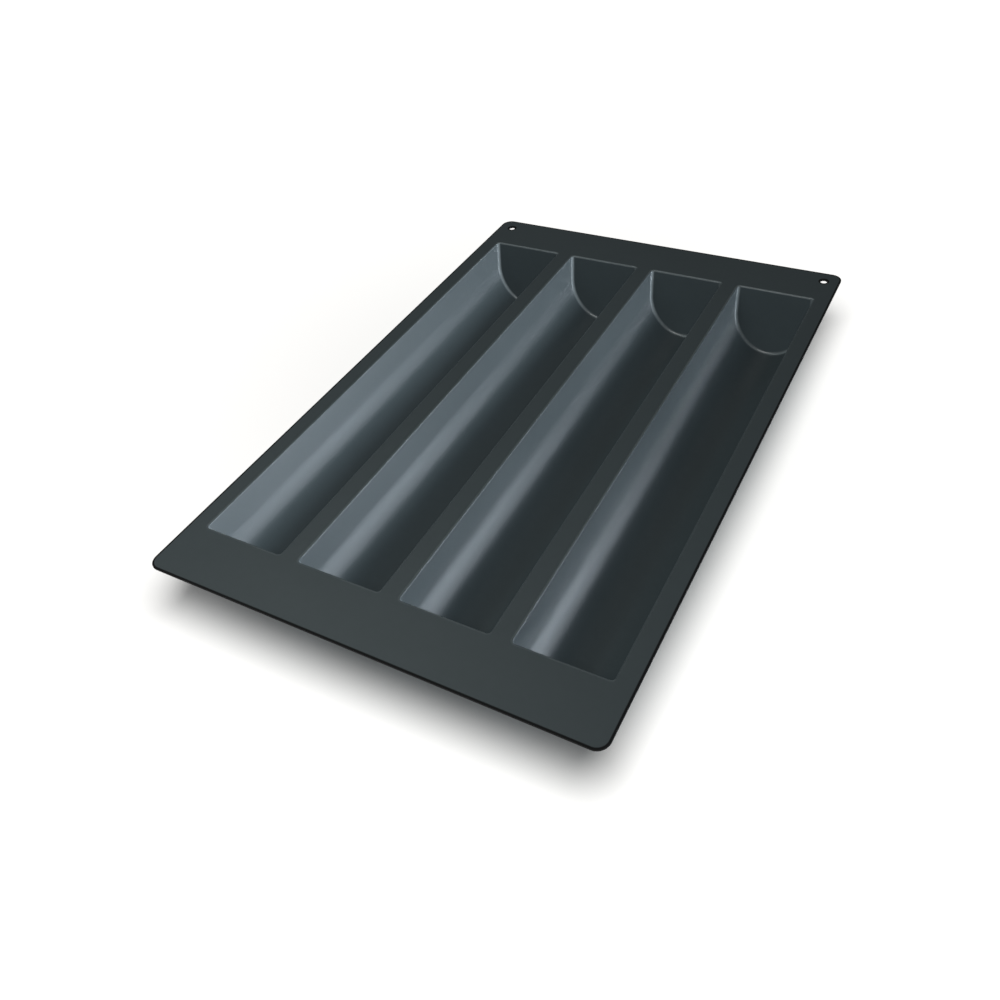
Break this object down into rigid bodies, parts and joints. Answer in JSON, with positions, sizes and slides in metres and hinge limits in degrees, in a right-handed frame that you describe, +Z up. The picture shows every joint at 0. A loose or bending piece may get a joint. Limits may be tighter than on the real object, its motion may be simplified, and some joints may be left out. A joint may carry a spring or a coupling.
{
  "type": "baguette tray",
  "caption": "Flat rectangular silicone sheet with parallel deep U-shaped troughs for proving and baking baguettes, and hanging holes in the corners of one short side.",
  "frame": {"origin": "on the surface that the tray stands on, under the centre of the sheet", "axes": "+X across the troughs, +Y along the troughs towards the end with the hanging holes, +Z up out of the mouths"},
  "size_m": [0.4, 0.6, 0.072],
  "materials": {
    "silicone": "satin moulded silicone, dark slate grey"
  },
  "bodies": {
    "root": {"rim_sheet": "silicone", "trough_1": "silicone", "trough_2": "silicone", "trough_3": "silicone", "trough_4": "silicone"}
  },
  "joints": []
}
